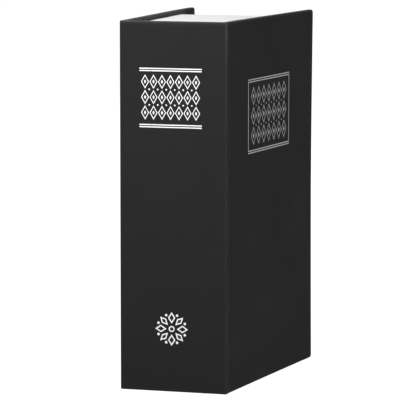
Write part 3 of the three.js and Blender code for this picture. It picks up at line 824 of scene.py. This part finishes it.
def buildHeadCornerHighlightGroup():    # painted highlight along the head, and down the corner where the spine meets the front
    s = headCornerHighlightSettings
    sizes = {"Head mm": 2.4, "Corner mm": 0.9, "Corner low": 0.2}
    tree, given, out = newGroup("paintedHeadCornerHighlight", sizes, ["Mask"])
    place = objectPlace(tree)
    below = mathNode(tree, "MULTIPLY_ADD", axesOf(tree, place)["Z"], -1 / mm, caseSettings["height"])
    head = mathNode(tree, "SUBTRACT", 1.0, mathNode(tree, "DIVIDE", below, given["Head mm"]))
    head = mathNode(tree, "POWER", mathNode(tree, "MAXIMUM", head, 0.0), s["headPower"])
    cornerAt = (jointSettings["face"] * mm, jointSettings["corner"] * mm, 0)
    aside = vectorNode(tree, "SUBTRACT", place, cornerAt)
    away = vectorNode(tree, "LENGTH", vectorNode(tree, "MULTIPLY", aside, (1 / mm, 1 / mm, 0)))
    corner = mathNode(tree, "SUBTRACT", 1.0, mathNode(tree, "DIVIDE", away, given["Corner mm"]))
    corner = rangeNode(tree, corner, 0.0, s["cornerFull"])
    share = mathNode(tree, "MAXIMUM", rangeNode(tree, below, *s["cornerFade"]), given["Corner low"])
    # painted highlight: lighter near the head and down the spine's front corner
    worn = mathNode(tree, "MAXIMUM", head, times(tree, corner, share))
    patches = noiseNode(tree, place, s["patchScale"])
    feed(tree, out["Mask"], times(tree, worn, rangeNode(tree, patches, *s["patchRange"])))
    return tree


def buildBrushGroup():      # fine lines along one axis
    s = brushSettings
    tree, given, out = newGroup("brushedLines", {"Stretch": (1, 1, 0.04), "Size mm": 0.15}, ["Height", "Tone"])
    place = objectPlace(tree)
    scaled = vectorNode(tree, "MULTIPLY", place, given["Stretch"])
    feed(tree, out["Height"], noiseNode(tree, scaled, scaleFor(tree, given["Size mm"]), s["detail"]))
    slow = noiseNode(tree, place, s["slowScale"])
    feed(tree, out["Tone"], rangeNode(tree, slow, *s["slowRange"]))
    return tree


def buildPageGroup():       # leaves lying side by side across the thickness
    s = pageLineSettings
    tree, given, out = newGroup("pageLeaves", {"Leaf mm": 0.22}, ["Height", "Tone"])
    flat = vectorNode(tree, "MULTIPLY", objectPlace(tree), s["flat"])
    scale = scaleFor(tree, given["Leaf mm"])
    leaves = noiseNode(tree, flat, scale, s["detail"], s["rough"])
    broad = noiseNode(tree, flat, times(tree, scale, s["broadScale"]), s["broadDetail"])
    feed(tree, out["Height"], mathNode(tree, "MULTIPLY_ADD", broad, s["broad"], leaves))
    feed(tree, out["Tone"], rangeNode(tree, leaves, *s["toneRange"]))
    return tree


def buildWeaveGroup():      # plain weave in the plane of the cover
    tree, given, out = newGroup("plainWeave", {"Thread mm": 0.45}, ["Height"])
    place = axesOf(tree, objectPlace(tree))
    turns = mathNode(tree, "DIVIDE", math.pi / mm, given["Thread mm"])
    across = mathNode(tree, "SINE", times(tree, mathNode(tree, "ADD", place["X"], place["Y"]), turns))
    down = mathNode(tree, "SINE", times(tree, place["Z"], turns))
    feed(tree, out["Height"], mathNode(tree, "MULTIPLY_ADD", times(tree, across, down), 0.5, 0.5))
    return tree


grainGroup = buildGrainGroup()
rubGroup = buildRubGroup()
headCornerHighlightGroup = buildHeadCornerHighlightGroup()
brushGroup = buildBrushGroup()
pageGroup = buildPageGroup()
weaveGroup = buildWeaveGroup()
print("shader groups built")

# finishes


def startMaterial(name):
    material = bpy.data.materials.new(name)
    material.use_nodes = True
    tree = material.node_tree
    return material, tree, tree.nodes["Principled BSDF"]


def useGroup(tree, group, **values):
    node = addNode(tree, "ShaderNodeGroup", node_tree=group)
    fill(tree, node, **values)
    return node.outputs


def useGrain(tree, finish):
    return useGroup(tree, grainGroup, Size_mm=finish["grain"], Patch_mm=finish["patch"])


def lighter(finish):
    return [part * finish["lift"] for part in finish["colour"]]


def addBump(tree, shader, finish, height):      # over an edge softened by finish["edge"], where it has one
    bump = addNode(tree, "ShaderNodeBump")
    fill(tree, bump, Height=height, Strength=finish["bump"], Distance=finish["depth"] * mm)
    if "edge" in finish:
        feed(tree, bump.inputs["Normal"], roundedNormal(tree, finish["edge"] * mm))
    feed(tree, shader.inputs["Normal"], bump.outputs["Normal"])


paperFinish = {                 # what the papers share
    "patch": 26.0,
    "tone": 0.5,                # the most of the lighter tone in a patch
    "lift": 1.25,
    "rub": {"Reach_mm": 0.5, "Break_mm": 1.6},
    "rubShare": 0.35,
    # the painted highlight along the head and down the spine's front corner
    "paintedHighlight": {"Head_mm": 2.4, "Corner_mm": 0.9, "Corner_low": 0.33},
    "bump": 0.35,
}
coveringFinish = {
    **paperFinish,
    "colour": (0.018, 0.018, 0.0187),
    # worn is the lighter paper of rubbed edges, and also the colour of the painted highlight at the head and the
    # spine's front corner
    "worn": (0.064, 0.063, 0.062),
    "specular": 0.037,
    "roughness": (0.66, 0.74),
    "grain": 0.42,
    "depth": 0.05,
}
turnedInFinish = {              # inside the boards, where the paper isn't rubbed dull
    **coveringFinish,
    "specular": 0.1,
    "roughness": (0.58, 0.66),
}
endpaperFinish = {
    **paperFinish,
    "colour": (0.014, 0.014, 0.016),
    "worn": (0.035, 0.035, 0.035),
    "specular": 0.2,
    "roughness": (0.78, 0.9),
    "grain": 0.25,
    "depth": 0.02,
}


def paperMaterial(name, finish):
    material, tree, shader = startMaterial(name)
    grain = useGrain(tree, finish)
    rub = useGroup(tree, rubGroup, **finish["rub"])
    paintedHighlight = useGroup(tree, headCornerHighlightGroup, **finish["paintedHighlight"])
    tone = spread(tree, grain["Patch"], 0.0, finish["tone"])
    toned = mixColour(tree, tone, finish["colour"], lighter(finish))
    # rubbed edges, and the painted highlight along the head and down the spine's front corner
    wearAndHighlight = mathNode(tree, "MAXIMUM", times(tree, rub["Mask"], finish["rubShare"]), paintedHighlight["Mask"])
    fill(tree, shader, Base_Color=mixColour(tree, wearAndHighlight, toned, finish["worn"]),
         Roughness=spread(tree, grain["Patch"], *finish["roughness"]), Specular_IOR_Level=finish["specular"])
    addBump(tree, shader, finish, grain["Height"])
    return material


clothFinish = {
    "thread": 0.45,
    "grain": 0.2,
    "patch": 12.0,
    "low": (0.009, 0.009, 0.010),
    "high": (0.026, 0.026, 0.028),
    "dust": (0.03, 0.03, 0.03),
    "dustShare": 0.3,
    "roughness": 0.85,
    "specular": 0.2,
    "bump": 0.6,
    "depth": 0.06,
}


def clothMaterial():
    finish = clothFinish
    material, tree, shader = startMaterial("black joint cloth")
    weave = useGroup(tree, weaveGroup, Thread_mm=finish["thread"])
    grain = useGrain(tree, finish)
    threads = mixColour(tree, weave["Height"], finish["low"], finish["high"])
    dust = times(tree, grain["Patch"], finish["dustShare"])
    fill(tree, shader, Base_Color=mixColour(tree, dust, threads, finish["dust"]),
         Roughness=finish["roughness"], Specular_IOR_Level=finish["specular"])
    addBump(tree, shader, finish, weave["Height"])
    return material


boardFinish = {
    "grain": 0.8,
    "patch": 5.0,
    "fibre": {"Stretch": (1, 0.08, 1), "Size_mm": 0.5},
    "low": (0.24, 0.215, 0.17),
    "high": (0.33, 0.30, 0.25),
    "dark": (0.16, 0.14, 0.12),
    "darkShare": 0.4,
    "roughness": 0.92,
    "bump": 0.5,
    "depth": 0.1,
}


def boardMaterial():
    finish = boardFinish
    material, tree, shader = startMaterial("grey binders board")
    grain = useGrain(tree, finish)
    fibre = useGroup(tree, brushGroup, **finish["fibre"])
    pulp = mixColour(tree, grain["Patch"], finish["low"], finish["high"])
    dark = times(tree, fibre["Height"], finish["darkShare"])
    fill(tree, shader, Base_Color=mixColour(tree, dark, pulp, finish["dark"]), Roughness=finish["roughness"])
    addBump(tree, shader, finish, fibre["Height"])
    return material


pageFinish = {
    "leaf": 0.24,
    "grain": 1.2,
    "patch": 18.0,
    "colour": (0.85, 0.85, 0.845),
    "shade": (0.66, 0.66, 0.65),
    "shadeShare": (0.32, 0.0),
    "aged": (0.80, 0.79, 0.77),
    "agedShare": 0.12,
    "roughness": (0.72, 0.82),
    "specular": 0.05,
    "bump": 0.5,
    "depth": 0.05,
    "edge": 0.25,
}


def pageMaterial():
    finish = pageFinish
    material, tree, shader = startMaterial("white page moulding")
    pages = useGroup(tree, pageGroup, Leaf_mm=finish["leaf"])
    grain = useGrain(tree, finish)
    shade = spread(tree, pages["Tone"], *finish["shadeShare"])
    lined = mixColour(tree, shade, finish["colour"], finish["shade"])
    aged = times(tree, grain["Patch"], finish["agedShare"])
    fill(tree, shader, Base_Color=mixColour(tree, aged, lined, finish["aged"]),
         Roughness=spread(tree, grain["Patch"], *finish["roughness"]), Specular_IOR_Level=finish["specular"])
    addBump(tree, shader, finish, pages["Height"])
    return material


coatFinish = {                  # what the paints share
    "patch": 22.0,
    "lift": 1.35,
    "rub": {"Reach_mm": 0.3, "Break_mm": 1.1},
    "rubShare": 0.55,
    "specular": 0.4,
    "bump": 0.4,
}
boxPaintFinish = {
    **coatFinish,
    "colour": (0.016, 0.016, 0.018),
    "worn": (0.20, 0.20, 0.21),
    "roughness": (0.42, 0.54),
    "grain": 0.7,
    "depth": 0.05,
    "edge": 0.25,
}
leafPaintFinish = {
    **coatFinish,
    "colour": (0.022, 0.022, 0.025),
    "worn": (0.30, 0.30, 0.31),
    "roughness": (0.26, 0.38),
    "grain": 1.6,
    "depth": 0.015,
    "edge": 0.2,
}


def coatMaterial(name, finish):
    material, tree, shader = startMaterial(name)
    grain = useGrain(tree, finish)
    rub = useGroup(tree, rubGroup, **finish["rub"])
    toned = mixColour(tree, grain["Patch"], finish["colour"], lighter(finish))
    worn = mixColour(tree, times(tree, rub["Mask"], finish["rubShare"]), toned, finish["worn"])
    rough = spread(tree, grain["Patch"], *finish["roughness"])
    fill(tree, shader, Base_Color=worn, Roughness=rough, Specular_IOR_Level=finish["specular"])
    addBump(tree, shader, finish, grain["Height"])
    return material


metalFinish = {                 # what the metals share
    "line": 0.12,
    "dullShare": 0.7,
    "sheen": (0.3, 0.7),        # the part of the lines' height that the roughness follows
    "metallic": 1.0,
    "bump": 0.4,
}
steelFinish = {
    **metalFinish,
    "colour": (0.60, 0.61, 0.63),
    "dull": (0.42, 0.43, 0.46),
    "roughness": (0.28, 0.42),
    "stretch": (1, 1, 0.05),
    "depth": 0.01,
    "edge": 0.15,
}
chromeFinish = {
    **metalFinish,
    "colour": (0.76, 0.77, 0.79),
    "dull": (0.66, 0.67, 0.70),
    "roughness": (0.10, 0.18),
    "stretch": (1, 1, 1),
    "depth": 0.003,
    "edge": 0.12,
}
brassFinish = {
    **metalFinish,
    "colour": (0.62, 0.44, 0.17),
    "dull": (0.45, 0.30, 0.11),
    "roughness": (0.25, 0.38),
    "stretch": (1, 0.05, 1),
    "depth": 0.008,
    "edge": 0.08,
}


def metalMaterial(name, finish):
    material, tree, shader = startMaterial(name)
    brush = useGroup(tree, brushGroup, Stretch=finish["stretch"], Size_mm=finish["line"])
    dull = times(tree, brush["Tone"], finish["dullShare"])
    rough = rangeNode(tree, brush["Height"], *finish["sheen"], *finish["roughness"])
    fill(tree, shader, Base_Color=mixColour(tree, dull, finish["colour"], finish["dull"]),
         Roughness=rough, Metallic=finish["metallic"])
    addBump(tree, shader, finish, brush["Height"])
    return material


foilFinish = {                  # what both foils share
    "grain": 0.42,
    "patch": 3.5,
    "thinHeight": (0.75, 1.1),  # where the paper's grain and its patches leave the foil thin
    "thinPatch": (0.2, 1.0),
    "thinShare": 0.5,
    "roughness": (0.38, 0.5),
    "metallic": 0.15,
    "bump": 0.3,
    "depth": 0.03,
}
# the same foil on both covers: the spine's copy is painted lighter as painted light, and the front's copy painted
# darker as painted shade
litSpineFoilFinish = {**foilFinish, "colour": (0.84, 0.84, 0.83), "thin": (0.46, 0.46, 0.46)}
shadedCoverFoilFinish = {**foilFinish, "colour": (0.47, 0.47, 0.47), "thin": (0.18, 0.18, 0.18)}


def foilMaterial(name, finish):     # blocked foil, a little thin over the grain of the paper
    material, tree, shader = startMaterial(name)
    grain = useGrain(tree, finish)
    high = rangeNode(tree, grain["Height"], *finish["thinHeight"])
    thin = times(tree, high, rangeNode(tree, grain["Patch"], *finish["thinPatch"]))
    thin = times(tree, thin, finish["thinShare"])
    fill(tree, shader, Base_Color=mixColour(tree, thin, finish["colour"], finish["thin"]),
         Roughness=spread(tree, grain["Patch"], *finish["roughness"]), Metallic=finish["metallic"])
    addBump(tree, shader, finish, grain["Height"])
    return material


finishes = {
    "covering_paper": paperMaterial("black covering paper", coveringFinish),
    "grey_board": boardMaterial(),
    "endpaper": paperMaterial("black endpaper", endpaperFinish),
    "joint_cloth": clothMaterial(),
    "page_plastic": pageMaterial(),
    "box_paint": coatMaterial("black powder coat", boxPaintFinish),
    "leaf_steel": coatMaterial("black lacquered steel", leafPaintFinish),
    "bright_steel": metalMaterial("zinc plated steel", steelFinish),
    "lock_chrome": metalMaterial("nickel plate", chromeFinish),
    "wafer_brass": metalMaterial("stamped brass", brassFinish),
}


def dress(material, *pieces):
    for piece in pieces:
        if not piece.material_slots:
            piece.data.materials.append(material)
        for place in piece.material_slots:
            place.material = material


def dressTurnIn(piece, material):   # the case's inner face, but not the margin at the fore-edge
    piece.data.materials.append(material)
    fore = caseSettings["foreEdge"] - caseSettings["turnIn"]
    for face in piece.data.polygons:
        if looks(face, axisX, 1) and face.center.x < 0 and face.center.y / mm < fore:
            face.material_index = len(piece.data.materials) - 1


for part in frame["record"]["subparts"]:
    if part["node"] in frame["nodes"]:
        dress(finishes[part["material_slot"]], frame["nodes"][part["node"]])
dress(finishes["covering_paper"], caseCovering, jointCorner, jointFlap, coverSheet)
dressTurnIn(caseCovering, paperMaterial("turned-in covering paper", turnedInFinish))
dress(finishes["grey_board"], backBoard, coverBoard)
dress(finishes["endpaper"], coverEndpaper, backEndpaper)
dress(foilMaterial("spine foil painted lit", litSpineFoilFinish), spineFoil)
dress(foilMaterial("cover foil painted shaded", shadedCoverFoilFinish), coverFoil)
print("finishes set")

# floor, world and lamps

stageSettings = {
    "floorSize": 8.0,           # metres
    "floorDrop": 0.2,           # below the book's foot
    "floorColour": (0.25, 0.25, 0.25),
    "floorRoughness": 0.9,
    "floorSpecular": 0.1,
    "floorLift": 0.92,          # added for the camera, so that the pale floor meets the white background
    "white": (1, 1, 1),
    "worldLight": 0.3,
    "worldSeen": 1.0,
    "lampAim": (0, 50, 90),
}
lampSettings = [                # distances and sizes in metres
    {"name": "key lamp", "azimuth": -7, "elevation": 41, "distance": 0.46, "size": 0.35, "power": 2.46},
    {"name": "side lamp", "azimuth": 62, "elevation": 2, "distance": 0.55, "size": 0.4, "power": 0.5},
    {"name": "top lamp", "azimuth": 10, "elevation": 84, "distance": 1.2, "size": 0.6, "power": 1.1},
    {"name": "back lamp", "azimuth": 200, "elevation": 28, "distance": 1.5, "size": 0.9, "power": 5.4},
]


def backgroundRays(tree):       # what is seen straight, mirrored or through glass
    path = addNode(tree, "ShaderNodeLightPath").outputs
    seen = mathNode(tree, "MAXIMUM", path["Is Camera Ray"], path["Is Glossy Ray"])
    return mathNode(tree, "MAXIMUM", seen, path["Is Transmission Ray"])


def buildFloor():
    s = stageSettings
    deselectAll()
    bpy.ops.mesh.primitive_plane_add(size=s["floorSize"], location=(0, 0, -s["floorDrop"] * mm))
    floor = bpy.context.object
    floor.name = "floor"
    placed(floor)
    material, tree, shader = startMaterial("pale floor")
    fill(tree, shader, Base_Color=s["floorColour"], Roughness=s["floorRoughness"],
         Specular_IOR_Level=s["floorSpecular"], Emission_Color=s["white"],
         Emission_Strength=times(tree, backgroundRays(tree), s["floorLift"]))
    dress(material, floor)


def buildWorld():
    s = stageSettings
    world = bpy.data.worlds.new("white studio")
    bpy.context.scene.world = world
    world.use_nodes = True
    tree = world.node_tree
    strength = spread(tree, backgroundRays(tree), s["worldLight"], s["worldSeen"])
    fill(tree, tree.nodes["Background"], Color=s["white"], Strength=strength)


def buildLamps():
    aim = Vector(stageSettings["lampAim"]) * mm
    for lamp in lampSettings:
        way = wayTo(lamp["azimuth"], lamp["elevation"])
        deselectAll()
        bpy.ops.object.light_add(type="AREA", location=aim + way * lamp["distance"])
        light = bpy.context.object
        light.name = lamp["name"]
        light.rotation_mode = "QUATERNION"
        light.rotation_quaternion = way.to_track_quat("Z", "Y")
        light.data.shape = "SQUARE"
        light.data.size = lamp["size"]
        light.data.energy = lamp["power"]
        light.visible_camera = False


buildFloor()
buildWorld()
buildLamps()
bpy.context.scene.view_settings.view_transform = "Standard"
print("stage set")
